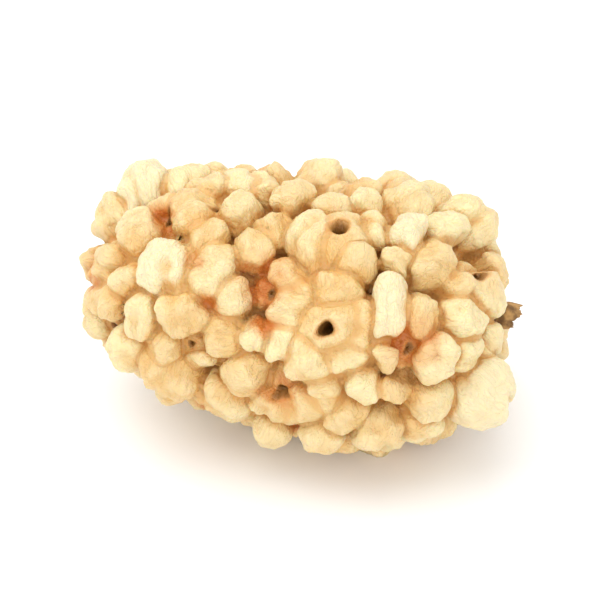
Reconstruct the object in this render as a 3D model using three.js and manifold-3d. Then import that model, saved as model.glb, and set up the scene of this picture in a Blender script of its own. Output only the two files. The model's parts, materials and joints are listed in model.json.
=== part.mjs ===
// A dried white mulberry lying on its side, in millimetres with +Z up.
// Its long axis runs along X, with the tip at -X and the broken stalk at +X.
// The fruit is one spindle, packed all over with small fleshy tepals that leave pits between them.
// Every tepal is an ellipsoid, and the skin is raised out of the spindle to the outermost of them.
import * as THREE from "three";
import { mergeVertices } from "three/addons/utils/BufferGeometryUtils.js";
import Module from "manifold-3d";

// Spindle that the tepals sit on
const SPINDLE_HALF_LENGTH = 7.55;
const SPINDLE_RADIUS = 4.9;
const SPINDLE_SQUARENESS = 3.1; // 2 is an ellipsoid, and more has blunter ends
const TIP_TAPER = 0.24; // share of the radius lost at the tip, compared with the stalk's end
const TIP_RISE = 0.8; // how far the tip stands above the middle
const FLATNESS = 0.9; // height of the cross section as a share of its width
const SKIN_DEPTH = 1.3; // how far inside the spindle the skin is raised from
const PIT_FLOOR = 1.2; // least height of the skin over that depth

// Pits on the side that shows: share of the spindle's area, and angle up from +Y in degrees
const SEEN_PITS = [
  { share: 0.02, turn: 115 },
  { share: 0.06, turn: 190 },
  { share: 0.145, turn: 101 },
  { share: 0.245, turn: 170 },
  { share: 0.265, turn: 86 },
  { share: 0.275, turn: 222 },
  { share: 0.437, turn: 136 },
  { share: 0.48, turn: 184 },
  { share: 0.595, turn: 98 },
  { share: 0.605, turn: 146 },
  { share: 0.72, turn: 217 },
  { share: 0.8, turn: 153 },
  { share: 0.79, turn: 59 },
  { share: 0.93, turn: 94 },
];
const PIT_SPACING = 3.1; // between two other pits, and from a seen one
const PIT_ROOM = 0.2; // that a tepal leaves between itself and a pit's middle
const STALK_ROOM = 1.5; // that pits and tepals leave round the stalk

// Tepals, in two ranks: the second is packed over what the first leaves bare
const TEPAL_RANKS = [
  { spacing: 1.62, thick: 0.92, wide: 1.08, tall: 1.15, lift: 0.36 },
  { spacing: 1.1, thick: 0.7, wide: 0.84, tall: 1.0, lift: 0.36 },
];
const TEPAL_CUP = 0.22; // radians by which a tepal tips in over its pit
const TEPAL_LEAN = 0.2; // how far tepals lean towards the fruit's tip

// Tepals that stayed plump, at their places and with their half sizes in mm
const PLUMP_TEPALS = [
  { share: 0.03, turn: 66, along: 1.05, round: 1.05, tall: 1.3, lift: 0.55 },
  { share: 0.08, turn: 62, along: 1.2, round: 1.15, tall: 1.55, lift: 0.65 },
  { share: 0.13, turn: 163, along: 0.85, round: 1.2, tall: 1.15, lift: 0.4 },
  { share: 0.17, turn: 132, along: 1.45, round: 1.3, tall: 1.2, lift: 0.35 },
  { share: 0.255, turn: 114, along: 0.85, round: 1.05, tall: 1.15, lift: 0.36 },
  { share: 0.335, turn: 141, along: 0.95, round: 1.0, tall: 1.15, lift: 0.36 },
  { share: 0.375, turn: 116, along: 0.95, round: 1.0, tall: 1.15, lift: 0.36 },
  { share: 0.455, turn: 212, along: 0.95, round: 0.95, tall: 1.15, lift: 0.5 },
  { share: 0.48, turn: 158, along: 0.8, round: 1.05, tall: 1.15, lift: 0.36 },
  { share: 0.6, turn: 206, along: 1.05, round: 0.95, tall: 1.15, lift: 0.5 },
  { share: 0.65, turn: 118, along: 1.0, round: 0.8, tall: 1.1, lift: 0.36 },
  { share: 0.7, turn: 45, along: 1.1, round: 0.95, tall: 1.2, lift: 0.45 },
  { share: 0.74, turn: 201, along: 1.05, round: 0.95, tall: 1.15, lift: 0.5 },
  { share: 0.75, turn: 136, along: 0.88, round: 1.35, tall: 1.25, lift: 0.4 },
  { share: 0.755, turn: 97, along: 0.8, round: 0.95, tall: 1.2, lift: 0.4 },
  { share: 0.785, turn: 47, along: 1.0, round: 0.95, tall: 1.2, lift: 0.45 },
  { share: 0.86, turn: 186, along: 1.1, round: 1.05, tall: 1.15, lift: 0.4 },
  { share: 0.88, turn: 62, along: 1.25, round: 1.2, tall: 1.45, lift: 0.72 },
  { share: 0.945, turn: 200, along: 1.5, round: 1.6, tall: 1.6, lift: 0.8 },
  // the three under the fruit, which steady it
  { share: 0.33, turn: 265, along: 1.2, round: 1.2, tall: 1.3, lift: 0.8 },
  { share: 0.52, turn: 285, along: 1.1, round: 1.1, tall: 1.3, lift: 0.7 },
  { share: 0.7, turn: 252, along: 1.1, round: 1.1, tall: 1.3, lift: 0.8 },
];
const PLUMP_ROOM = 0.15; // that other tepals' middles leave round a plump one

// The places tried for pits and tepals lie on a spiral, and are tried in strides along it
const SPIRAL_PLACES = 4001;
const SPIRAL_STRIDE = 1571;

// Irregular growth, as shares of a size, in radians or in millimetres
const SEED = 20;
const SIZE_SPREAD = 0.16;
const TILT_SPREAD = 0.2;

// The skin starts as an icosahedron with each edge split this many times
const SKIN_SPLITS = 23;
const AREA_STEPS = 400; // stations at which the spindle's area is added up
const SMALL_STEP = 1e-3; // of u and of an angle, between which a normal is measured
const MERGE_DISTANCE = 1e-5;

// Broken stalk, which stands in a plain hole in the base
const STALK_SEAT_X = 5.6;
const STALK_LENGTH = 3.5;
const STALK_RISE = 0.7; // how far it stands above the spindle's axis
const STALK_RADIUS = 0.5;
const STALK_PROFILE = [ // share of the length, and share of the radius there
  [0, 1],
  [0.45, 0.92],
  [0.7, 1],
  [0.88, 1.18],
  [1, 1.04],
];
const STALK_CLEARANCE = 0.3;
const STALK_SIDES = 12;
const STALK_RIDGES = 3;
const STALK_RIDGE_HEIGHT = 0.07; // as a share of the radius
const STALK_BREAK_SLOPE = 0.5; // slant of the broken end

// Table under the fruit, which flattens the lowest tepals
const TABLE_SIZE = 40;
const TABLE_THICKNESS = 10;
const AXIS_HEIGHT = 5.4; // of the spindle's axis over the table

// A seeded generator of numbers from 0 to 1
function seededRandom(seed) {
  let state = seed >>> 0;
  return () => {
    state = (state + 0x6d2b79f5) >>> 0;
    let t = Math.imul(state ^ (state >>> 15), state | 1);
    t = (t + Math.imul(t ^ (t >>> 7), t | 61)) ^ t;
    return ((t ^ (t >>> 14)) >>> 0) / 4294967296;
  };
}
const random = seededRandom(SEED);
const spread = (amount) => amount * (2 * random() - 1);

// Radius of the spindle at u, which runs from -1 at the tip to 1 at the stalk
function spindleRadius(u) {
  const round = Math.pow(1 - Math.pow(Math.abs(u), SPINDLE_SQUARENESS), 1 / SPINDLE_SQUARENESS);
  return SPINDLE_RADIUS * round * (1 - TIP_TAPER * (0.5 - 0.5 * u) ** 2);
}

function spindlePoint(u, angle) {
  const r = spindleRadius(u);
  const rise = TIP_RISE * (0.5 - 0.5 * u) ** 2;
  return new THREE.Vector3(
    SPINDLE_HALF_LENGTH * u,
    r * Math.cos(angle),
    r * FLATNESS * Math.sin(angle) + rise,
  );
}

function spindleNormal(u, angle) {
  const middle = THREE.MathUtils.clamp(u, SMALL_STEP - 1, 1 - SMALL_STEP);
  const along = spindlePoint(middle + SMALL_STEP, angle);
  along.sub(spindlePoint(middle - SMALL_STEP, angle));
  const round = spindlePoint(middle, angle + SMALL_STEP);
  round.sub(spindlePoint(middle, angle - SMALL_STEP));
  return new THREE.Vector3().crossVectors(round, along).normalize();
}

// The share of the spindle's area that lies between the tip and each of many even stations
function areaShares() {
  const area = [0];
  for (let i = 1; i <= AREA_STEPS; i++) {
    const a = spindlePoint((2 * (i - 1)) / AREA_STEPS - 1, 0);
    const b = spindlePoint((2 * i) / AREA_STEPS - 1, 0);
    area.push(area[i - 1] + a.distanceTo(b) * (a.y + b.y));
  }
  return area.map((value) => value / area[AREA_STEPS]);
}
const shares = areaShares();

// The u that has this share of the spindle's area on its tip side
function stationOfShare(share) {
  const i = Math.max(1, shares.findIndex((value) => value >= share));
  const part = (share - shares[i - 1]) / (shares[i] - shares[i - 1]);
  return (2 * (i - 1 + part)) / AREA_STEPS - 1;
}

// A frame on the spindle: x runs round it, y along it, and z out of it, tipped by the lean
function standingFrame(u, angle, lean) {
  const normal = spindleNormal(u, angle);
  const out = normal.clone().add(lean).normalize();
  const round = new THREE.Vector3(1, 0, 0).cross(normal).normalize();
  const along = out.clone().cross(round).normalize();
  round.crossVectors(along, out);
  return new THREE.Matrix4().makeBasis(round, along, out).setPosition(spindlePoint(u, angle));
}

function placeOf({ share, turn }) {
  const u = stationOfShare(share);
  const angle = THREE.MathUtils.degToRad(turn);
  return { u, angle, point: spindlePoint(u, angle) };
}

function spiralPlaces() {
  const golden = 180 * (3 - Math.sqrt(5));
  return Array.from({ length: SPIRAL_PLACES }, (_, i) => {
    const index = (i * SPIRAL_STRIDE) % SPIRAL_PLACES;
    return placeOf({ share: (index + 0.5) / SPIRAL_PLACES, turn: index * golden });
  });
}

// Whether a point keeps this distance from each of the places
const clearOf = (point, places, distance) =>
  places.every((place) => point.distanceTo(place.point) >= distance);

function nearest(places, point) {
  const away = places.map((place) => place.point.distanceTo(point));
  return places[away.indexOf(Math.min(...away))];
}

// Whether a point of the spindle stands outside every plump tepal and the room round it
function clearOfPlump(point, plump) {
  return plump.every(({ frame, along, round, tall }) => {
    const local = point.clone().applyMatrix4(frame);
    local.divide(new THREE.Vector3(round + PLUMP_ROOM, along + PLUMP_ROOM, tall + PLUMP_ROOM));
    return local.length() > 1;
  });
}

// One small tepal as an ellipsoid that stands beside its pit and tips in over it
function tepalMatrix({ u, angle }, pit, rank) {
  const size = 1 + spread(SIZE_SPREAD);
  const lean = new THREE.Vector3(-TEPAL_LEAN * (1 - Math.abs(spindleNormal(u, angle).x)), 0, 0);
  lean.add(new THREE.Vector3(spread(TILT_SPREAD), spread(TILT_SPREAD), spread(TILT_SPREAD)));
  const matrix = standingFrame(u, angle, lean);
  const toPit = pit.point.clone().applyMatrix4(matrix.clone().invert());
  matrix.multiply(new THREE.Matrix4().makeRotationZ(Math.atan2(-toPit.y, -toPit.x)));
  matrix.multiply(new THREE.Matrix4().makeRotationY(-TEPAL_CUP));
  matrix.multiply(new THREE.Matrix4().makeTranslation(0, 0, rank.lift));
  const scale = (v) => v * size * (1 + spread(SIZE_SPREAD));
  return matrix.multiply(
    new THREE.Matrix4().makeScale(scale(rank.thick), scale(rank.wide), scale(rank.tall)),
  );
}

function allTepals() {
  const tepals = [];
  const plump = PLUMP_TEPALS.map((row) => {
    const { u, angle } = placeOf(row);
    const frame = standingFrame(u, angle, new THREE.Vector3());
    const matrix = frame.clone().multiply(new THREE.Matrix4().makeTranslation(0, 0, row.lift));
    tepals.push(matrix.multiply(new THREE.Matrix4().makeScale(row.round, row.along, row.tall)));
    return { ...row, frame: frame.invert() };
  });
  const stalk = { point: new THREE.Vector3(SPINDLE_HALF_LENGTH, 0, STALK_RISE) };
  const places = spiralPlaces().filter(
    ({ point }) => clearOf(point, [stalk], STALK_ROOM) && clearOfPlump(point, plump),
  );
  const pits = SEEN_PITS.map(placeOf);
  for (const place of places) {
    if (clearOf(place.point, pits, PIT_SPACING)) pits.push(place);
  }
  const taken = [];
  for (const rank of TEPAL_RANKS) {
    for (const place of places) {
      if (!clearOf(place.point, pits, rank.thick + PIT_ROOM)) continue;
      if (!clearOf(place.point, taken, rank.spacing)) continue;
      taken.push(place);
      tepals.push(tepalMatrix(place, nearest(pits, place.point), rank));
    }
  }
  return tepals.map((matrix) => ({
    centre: new THREE.Vector3().setFromMatrixPosition(matrix),
    reach: Math.max(...new THREE.Vector3().setFromMatrixScale(matrix).toArray()),
    inverse: matrix.clone().invert(),
  }));
}

// Height of the skin over a point inside the spindle, along the spindle's normal
function skinHeight(start, normal, tepals) {
  let height = PIT_FLOOR;
  for (const tepal of tepals) {
    const toCentre = tepal.centre.clone().sub(start);
    const along = toCentre.dot(normal);
    if (toCentre.lengthSq() - along * along > tepal.reach * tepal.reach) continue;
    const origin = start.clone().applyMatrix4(tepal.inverse);
    const ray = start.clone().add(normal).applyMatrix4(tepal.inverse).sub(origin);
    const a = ray.lengthSq();
    const b = origin.dot(ray);
    const root = b * b - a * (origin.lengthSq() - 1);
    if (root > 0) height = Math.max(height, (Math.sqrt(root) - b) / a);
  }
  return height;
}

// The skin: an evenly split ball, laid on the spindle with its areas kept, and raised to the tepals
function skinGeometry() {
  const geometry = new THREE.IcosahedronGeometry(1, SKIN_SPLITS);
  geometry.deleteAttribute("normal");
  geometry.deleteAttribute("uv");
  const skin = mergeVertices(geometry, MERGE_DISTANCE);
  const tepals = allTepals();
  const position = skin.attributes.position;
  const ball = new THREE.Vector3();
  for (let i = 0; i < position.count; i++) {
    ball.fromBufferAttribute(position, i);
    const u = stationOfShare((1 + ball.x) / 2);
    const angle = Math.atan2(ball.z, ball.y);
    const normal = spindleNormal(u, angle);
    const start = spindlePoint(u, angle).addScaledVector(normal, -SKIN_DEPTH);
    const point = start.clone().addScaledVector(normal, skinHeight(start, normal, tepals));
    position.setXYZ(i, point.x, point.y, point.z);
  }
  return skin;
}

// The stalk as a ridged rod, straight to its flat seat, with a slanted break at its free end
function stalkGeometry() {
  const profile = STALK_PROFILE.map(
    ([part, width]) => new THREE.Vector2(STALK_RADIUS * width, STALK_LENGTH * part),
  );
  profile.unshift(new THREE.Vector2(0, 0));
  profile.push(new THREE.Vector2(0, STALK_LENGTH));
  const geometry = new THREE.LatheGeometry(profile, STALK_SIDES).rotateZ(-Math.PI / 2);
  const position = geometry.attributes.position;
  const point = new THREE.Vector3();
  for (let i = 0; i < position.count; i++) {
    point.fromBufferAttribute(position, i);
    const ridge = 1 + STALK_RIDGE_HEIGHT * Math.cos(STALK_RIDGES * Math.atan2(point.z, point.y));
    const slant = STALK_BREAK_SLOPE * (point.x / STALK_LENGTH) ** 3 * point.z;
    position.setXYZ(i, point.x + slant, point.y * ridge, point.z * ridge);
  }
  return geometry.translate(STALK_SEAT_X, 0, STALK_RISE);
}

function stalkHoleGeometry() {
  const radius = STALK_RADIUS * (1 + STALK_RIDGE_HEIGHT) + STALK_CLEARANCE;
  const depth = 2 * STALK_LENGTH;
  const geometry = new THREE.CylinderGeometry(radius, radius, depth, STALK_SIDES);
  geometry.rotateZ(-Math.PI / 2);
  return geometry.translate(STALK_SEAT_X + depth / 2, 0, STALK_RISE);
}

function tableGeometry() {
  const geometry = new THREE.BoxGeometry(TABLE_SIZE, TABLE_SIZE, TABLE_THICKNESS);
  return geometry.translate(0, 0, -AXIS_HEIGHT - TABLE_THICKNESS / 2);
}

function toSolid(wasm, geometry) {
  const bare = geometry.clone();
  bare.deleteAttribute("normal");
  bare.deleteAttribute("uv");
  const merged = mergeVertices(bare, MERGE_DISTANCE);
  return new wasm.Manifold(
    new wasm.Mesh({
      numProp: 3,
      vertProperties: merged.attributes.position.array,
      triVerts: new Uint32Array(merged.index.array),
    }),
  );
}

function toGeometry(solid) {
  const mesh = solid.getMesh();
  const geometry = new THREE.BufferGeometry();
  geometry.setAttribute("position", new THREE.BufferAttribute(mesh.vertProperties, 3));
  geometry.setIndex(new THREE.BufferAttribute(mesh.triVerts, 1));
  geometry.computeVertexNormals();
  return geometry;
}

function namedMesh(name, solid, color, roughness) {
  const material = new THREE.MeshStandardMaterial({ color, roughness, metalness: 0 });
  const mesh = new THREE.Mesh(toGeometry(solid), material);
  mesh.name = name;
  return mesh;
}

const wasm = await Module();
wasm.setup();

const fruitSolid = toSolid(wasm, skinGeometry())
  .subtract(toSolid(wasm, tableGeometry()))
  .subtract(toSolid(wasm, stalkHoleGeometry()));
const stalkSolid = toSolid(wasm, stalkGeometry());

const mulberry = new THREE.Group();
mulberry.add(
  namedMesh("fruit", fruitSolid, 0xecc78c, 0.65),
  namedMesh("stalk_stub", stalkSolid, 0x9a6a35, 0.8),
);

// The origin goes to the middle of the box round the whole thing, at table height
const box = new THREE.Box3().setFromObject(mulberry);
const middle = box.getCenter(new THREE.Vector3());
mulberry.position.set(-middle.x, -middle.y, AXIS_HEIGHT);

export default mulberry;
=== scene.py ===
import itertools
import json
import math

import bmesh
import bpy
import numpy as np
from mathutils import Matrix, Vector

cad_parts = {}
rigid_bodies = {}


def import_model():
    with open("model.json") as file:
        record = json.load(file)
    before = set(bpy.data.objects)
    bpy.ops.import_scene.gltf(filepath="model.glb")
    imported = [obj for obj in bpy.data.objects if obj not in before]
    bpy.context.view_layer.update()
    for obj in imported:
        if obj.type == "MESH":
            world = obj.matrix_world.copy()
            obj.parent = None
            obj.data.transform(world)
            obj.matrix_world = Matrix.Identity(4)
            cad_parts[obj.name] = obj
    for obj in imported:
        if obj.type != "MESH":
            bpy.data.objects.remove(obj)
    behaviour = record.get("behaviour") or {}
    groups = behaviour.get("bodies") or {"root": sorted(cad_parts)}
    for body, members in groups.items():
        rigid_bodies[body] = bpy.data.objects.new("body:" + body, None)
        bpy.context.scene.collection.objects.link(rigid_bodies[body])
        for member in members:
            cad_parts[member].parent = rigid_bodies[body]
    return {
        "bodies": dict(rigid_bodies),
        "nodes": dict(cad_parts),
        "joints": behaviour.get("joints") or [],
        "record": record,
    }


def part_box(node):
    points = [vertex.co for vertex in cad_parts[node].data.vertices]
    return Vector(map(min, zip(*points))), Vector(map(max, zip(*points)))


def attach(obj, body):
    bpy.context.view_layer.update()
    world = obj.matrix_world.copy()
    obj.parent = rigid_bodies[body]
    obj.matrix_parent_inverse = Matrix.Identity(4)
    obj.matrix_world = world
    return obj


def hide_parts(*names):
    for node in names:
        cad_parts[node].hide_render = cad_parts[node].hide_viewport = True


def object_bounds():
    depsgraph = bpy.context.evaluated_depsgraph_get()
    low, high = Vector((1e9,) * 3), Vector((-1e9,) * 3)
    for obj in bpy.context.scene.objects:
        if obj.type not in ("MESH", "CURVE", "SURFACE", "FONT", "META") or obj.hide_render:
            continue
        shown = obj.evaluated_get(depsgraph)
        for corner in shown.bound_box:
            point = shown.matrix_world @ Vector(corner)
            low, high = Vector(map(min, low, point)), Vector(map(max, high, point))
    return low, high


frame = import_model()
cad_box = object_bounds()


def table(columns, *rows):
    """The rows as dictionaries, by the names of their columns."""
    return [dict(zip(columns.split(), row, strict=True)) for row in rows]


# Spindle that the tepals sit on, as in the part's source
SPINDLE_HALF_LENGTH = 7.55
SPINDLE_RADIUS = 4.9
SPINDLE_SQUARENESS = 3.1  # 2 is an ellipsoid, and more has blunter ends
TIP_TAPER = 0.24  # share of the radius lost at the tip
TIP_RISE = 0.8
FLATNESS = 0.9  # height of the cross section as a share of its width
AXIS_HEIGHT = 5.4  # of the spindle's axis over the table
AREA_STEPS = 400
SMALL_STEP = 1e-3

# Pits on the side that shows, at the places in the part's source: how far each is open in
# millimetres, how much longer it is than wide, and the turn of its long side in degrees.
# The hole itself may be at a turn of its own, on the near side of its bud.
SEEN_PITS = table(
    "share turn hole_turn open long side",
    (0.02, 115, 115, 0.12, 1.6, 20),
    (0.06, 190, 190, 0.14, 1.5, 70),
    (0.145, 101, 101, 0.06, 2.6, 60),
    (0.245, 170, 170, 0.18, 1.3, 150),
    (0.265, 86, 94, 0.13, 2.2, 50),
    (0.275, 222, 222, 0.12, 1.3, 0),
    (0.437, 136, 136, 0.07, 2.6, 80),
    (0.48, 184, 184, 0.16, 1.2, 20),
    (0.595, 98, 107, 0.2, 1.15, 30),
    (0.605, 146, 148, 0.2, 1.2, 10),
    (0.72, 217, 217, 0.12, 1.3, 0),
    (0.8, 153, 153, 0.13, 1.8, 80),
    (0.79, 59, 59, 0.07, 1.6, 0),
    (0.93, 94, 104, 0.12, 1.5, 40),
)
PIT_SPACING = 3.1
PIT_ROOM = 0.2  # between a pit's middle and the edge of a tepal
STALK_ROOM = 1.5  # free of tepals' middles round the stalk

# Tepals, as in the part's source
TEPAL_RANKS = (
    {"spacing": 1.62, "thick": 0.92, "wide": 1.08, "tall": 1.15, "lift": 0.36},
    {"spacing": 1.1, "thick": 0.7, "wide": 0.84, "tall": 1.0, "lift": 0.36},
)
TEPAL_CUP = 0.22  # radians by which a tepal tips in over its pit
TEPAL_LEAN = 0.2  # how far tepals lean towards the fruit's tip
PLUMP_TEPALS = table(
    "share turn along round tall lift",
    (0.03, 66, 1.05, 1.05, 1.3, 0.55),
    (0.08, 62, 1.2, 1.15, 1.55, 0.65),
    (0.13, 163, 0.85, 1.2, 1.15, 0.4),
    (0.17, 132, 1.45, 1.3, 1.2, 0.35),
    (0.255, 114, 0.85, 1.05, 1.15, 0.36),
    (0.335, 141, 0.95, 1.0, 1.15, 0.36),
    (0.375, 116, 0.95, 1.0, 1.15, 0.36),
    (0.455, 212, 0.95, 0.95, 1.15, 0.5),
    (0.48, 158, 0.8, 1.05, 1.15, 0.36),
    (0.6, 206, 1.05, 0.95, 1.15, 0.5),
    (0.65, 118, 1.0, 0.8, 1.1, 0.36),
    (0.7, 45, 1.1, 0.95, 1.2, 0.45),
    (0.74, 201, 1.05, 0.95, 1.15, 0.5),
    (0.75, 136, 0.88, 1.35, 1.25, 0.4),
    (0.755, 97, 0.8, 0.95, 1.2, 0.4),
    (0.785, 47, 1.0, 0.95, 1.2, 0.45),
    (0.86, 186, 1.1, 1.05, 1.15, 0.4),
    (0.88, 62, 1.25, 1.2, 1.45, 0.72),
    (0.945, 200, 1.5, 1.6, 1.6, 0.8),
    (0.33, 265, 1.2, 1.2, 1.3, 0.8),
    (0.52, 285, 1.1, 1.1, 1.3, 0.7),
    (0.7, 252, 1.1, 1.1, 1.3, 0.8),
)
PLUMP_ROOM = 0.15  # free of other tepals' middles round a plump one
# How tan each plump tepal is, from 0 to 1, and the rows of those that are palest in the photo,
# which are painted whiter: partly their own paler tone, partly a painted highlight where the light
# fell brightest
PLUMP_TONES = (
    0.4, 0.1, 0.2, 0.0, 0.9, 0.4, 0.95, 0.5, 0.1, 0.3, 0.9,
    0.4, 0.5, 0.0, 0.1, 0.4, 0.3, 0.2, 0.1, 0.5, 0.5, 0.5,
)
PALEST_AND_HIGHLIT_PLUMP = (1, 3, 13, 14, 18)
# Millimetres by which some stand out further than in the part's source, by row
PLUMP_RISES = {1: 0.12, 3: 0.12, 7: 0.4, 9: 0.4, 12: 0.2, 13: 0.12, 14: 0.12, 18: 0.12}
# Furrows of the largest plump tepals, by row: depth and how far they are off the middle
PLUMP_FURROWS = {0: (0.25, 0.1), 1: (0.3, -0.15), 3: (0.25, 0.4), 17: (0.3, 0.1), 18: (0.5, 0.2)}
SPIRAL_PLACES = 4001
SPIRAL_STRIDE = 1571

# Irregular growth, drawn in the same order as in the part's source
SEED = 20
SIZE_SPREAD = 0.16
TILT_SPREAD = 0.2

# Stalk, as in the part's source
STALK_SEAT_X = 5.6
STALK_LENGTH = 3.5
STALK_RISE = 0.7
STALK_RADIUS = 0.5
STALK_PROFILE = ((0, 1), (0.45, 0.92), (0.7, 1), (0.88, 1.18), (1, 1.04))
STALK_WIDEST = 1.18  # as a share of the radius, just before the break
STALK_RIDGES = 3
STALK_RIDGE_HEIGHT = 0.07
STALK_BREAK_SLOPE = 0.5

# The stalk's finer form, in millimetres or as shares of its radius, and its hole in the flesh
STALK_RINGS = 40
STALK_SIDES = 72
STALK_END_RINGS = 8
STALK_FIBRES = (7, 11, 16, 23)  # how many times each of the fibres' waves goes round
FIBRE_SIZES = (0.3, 1)
FIBRE_TURNS = (0, 6)
FIBRE_SUM = 2.5  # what the waves' sum is divided by
FIBRE_HEIGHT = 0.045
FIBRE_SWELL = {"size": 0.3, "turn": 9}  # how the height comes and goes along the stalk
STALK_TEETH = {"number": 5, "turn": 1, "length": 0.07, "spread": 0.035, "start": 0.8}
STALK_END_DIP = 0.12
STALK_END_HOLLOW = 0.18
STALK_END_SPREAD = 0.05
STALK_GAP = 0.04  # between the stalk and the flesh
STALK_HOLE_START = 1.0  # how far from the stalk's foot the hole that shows starts
STALK_HOLE_FLARE = 0.35
STALK_FLARE_REACH = (-0.4, 1.2)  # past the spindle's end, where it starts and is full

# How the dried skin departs from plain ellipsoids
SHAPE_SEED = 5
WEDGE_SPREAD = 0.3  # how much wider or narrower a tepal's top is than its middle
BEND_MOST = 0.25  # millimetres by which a tepal's top curls over the pit
FURROW_MOST = 0.22  # depth of the furrow down a tepal's outer face
FURROW_SHARES = (-0.6, 1)  # range of its depth as a share of that, with none below 0
FURROW_ASIDE = 0.3  # how far it may be off the middle, as a share of the half width
FURROW_FACE = (-0.2, 0.5)  # where it starts and is full, towards the outer face
FURROW_WIDTH = 0.24
PLUMP_CALM = 0.5  # how much a plump tepal is bent, as a share of the others
SQUARENESS = 2.4  # 2 is an ellipsoid, and more fills its corners
SQUARENESS_SPREAD = 0.3
PLUMP_SQUARENESS = 2.15
PIT_REACH = 1.9  # how near a pit a tepal has grown together with the others round it
PIT_BLEND = 0.08  # millimetres over which the tepals round one pit run into each other
BLEND = 0.05  # the same between others
SWELL = 1.02  # how much wider the small tepals are here than in the part's source
CREASE_DEPTH = 0.15  # of the narrow crease between two buds
CREASE_SHARES = (0.6, 0.4)  # of it, between any two lobes, and what a bud's edge adds
CREASE_WIDTH = 0.17
CREASE_PATCH = 1.4  # millimetres over which creases fade and come back
CREASE_FADE = (-0.9, 0.1)  # the noise at which a crease is gone and is full
CORE_DEPTH = 0.08  # of the core under the spindle's surface
VOXEL = 0.12
SHELL = (-0.7, 2.9)  # how far from the core's surface the skin is looked for
GRID_MARGIN = 2.1  # from the lobes' middles to the edge of the grid
LOBE_MARGIN = 0.6  # how far round a lobe it still counts
WARPS = (  # bends of the whole and of each lobe: size, number and lengths of the waves
    {"size": 0.16, "waves": 14, "lengths": (2.2, 5.5)},
    {"size": 0.08, "waves": 22, "lengths": (0.9, 1.9)},
)
DIMPLE_SIZE = 0.17
DIMPLE_LENGTH = 0.8
WRINKLE_SIZE = 0.13
WRINKLE_LENGTHS = (0.6, 0.42, 1.3)  # out from the pit, across the tepal, and up it
WRINKLE_START = (0.03, 0.3)  # how far from a crease they start and are full
WRINKLE_MEAN = 0.45
FINE_WRINKLES = {"size": 0.5, "fineness": 2.1}  # laid over the others, as shares of theirs
PLUMP_WRINKLES = 0.6  # how wrinkled a plump tepal is, as a share of the others
LOBE_SHIFT = 17.3  # in the wrinkles' noise, from one lobe to the next
SALTS = {"wrinkles": 11, "fine wrinkles": 21, "dimples": 31, "creases": 41, "stains": 51}
DEEPEST = -1.0  # millimetres inside, beyond which depth no longer counts
FAR = 9.0  # millimetres, further than any lobe reaches

# Holes in the pits, drawn from these ranges where the photo hides them
DRAWN_PITS = {"open": (0.05, 0.19), "long": (1.0, 2.0), "side": (0, 180)}
PIT_HEIGHTS = (0.2, 0.8, 1.6)  # of a hole's narrowest place, of its middle and of its mouth
PIT_NARROWING = 0.5  # how much narrower it is there than in its middle, as a share
PIT_FLARE = 0.5  # how much wider it is at its mouth, as a share
PIT_WAVER = (0.16, 0.1)  # how far its outline is from an oval, in two and in three lobes
PIT_EDGE = 0.22  # roundness of its edge
HOLE_REACH = 2.6  # how far round its foot it counts

# Buds that stayed shut round their pit, as a barrel with the hole in its middle
BARREL = {"round": 1.2, "along": 1.45, "tall": 1.2, "lift": 0.36}
LOW_BARREL = {"round": 0.8, "along": 0.9, "tall": 0.6, "lift": 0.0}  # round every other hole
SEEN_BARRELS = (8, 9)  # rows of the pits that are seen in one
BARREL_CHANCE = 0.2
BARREL_TONE = 0.8

# Stains where sugar has darkened in the creases: those seen in the photo, with their radius
# in millimetres, and the ranges of those that are drawn for the sides that it hides
SEEN_STAINS = table(
    "share turn size",
    (0.01, 150, 1.2),
    (0.145, 101, 0.9),
    (0.26, 128, 0.8),
    (0.3, 144, 0.8),
    (0.42, 132, 1.4),
    (0.43, 150, 0.9),
    (0.48, 184, 1.0),
    (0.54, 166, 0.8),
    (0.53, 208, 0.7),
    (0.72, 215, 0.8),
    (0.81, 150, 1.35),
)
MORE_STAINS = 22
DRAWN_STAINS = {"share": (0.03, 0.95), "turn": (225, 405), "size": (0.6, 1.1)}
STAIN_HEIGHT = 0.8  # of their middles over the spindle's surface
STAIN_EDGE = (1.1, 0.3)  # where they start and are deepest, as shares of their radius
STAIN_RAGGED = 0.4
STAIN_LENGTH = 0.6

# Marks on the skin that the materials read: how far each spreads, in millimetres or, for the
# hollows, in rounds of evening out
MARK_BLEND = 0.07
MARK_REACH = 0.5  # over a lobe's skin
MARK_DEPTH = 0.6  # under it
CREASE_MARK = 0.35
PIT_MARK = 0.3
# The hollow marks set where the flesh is painted with shade in its hollows and with light on its
# crests
HOLLOW_ROUNDS = {"fine_hollow": 12, "wide_hollow": 80}

# Screen colours, from 0 to 255, and the fineness of their patches in waves to the metre
FLESH_COLOURS = {
    "cream": (232, 214, 164),
    "tan": (222, 188, 128),
    "golden": (218, 174, 106),
    # partly painted highlight: the paler colour of the palest lobes, partly their own tone
    "pale_and_highlit": (232, 220, 184),
    # painted highlight: a paler colour on the lobes' rounded tops, where the light falls fullest
    "crest highlight": (234, 220, 176),
    "faint stain": (212, 148, 76),
    # painted shade: a darker amber in the wide hollows between lobes
    "hollow_shade": (226, 182, 112),
    # painted shade: a darker amber along the narrow creases between lobes
    "crease": (212, 162, 94),
    # painted shade: darker still at the bottoms of the sharp creases
    "deep crease shade": (212, 152, 80),
    "stain": (200, 116, 44),
    # rim and hole: orange-brown round each hole's mouth and dark brown at its bottom, partly the
    # dried style's own brown, partly painted shade inside the hole
    "rim": (204, 140, 66),
    "hole": (142, 96, 40),
    "freckle": (186, 130, 66),
}
STALK_COLOURS = {"brown": (110, 78, 42), "straw": (196, 152, 92)}
PATCHES = 330
SPECKS = 1500
FIBRES = 2500
GRAIN = 5000

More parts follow.
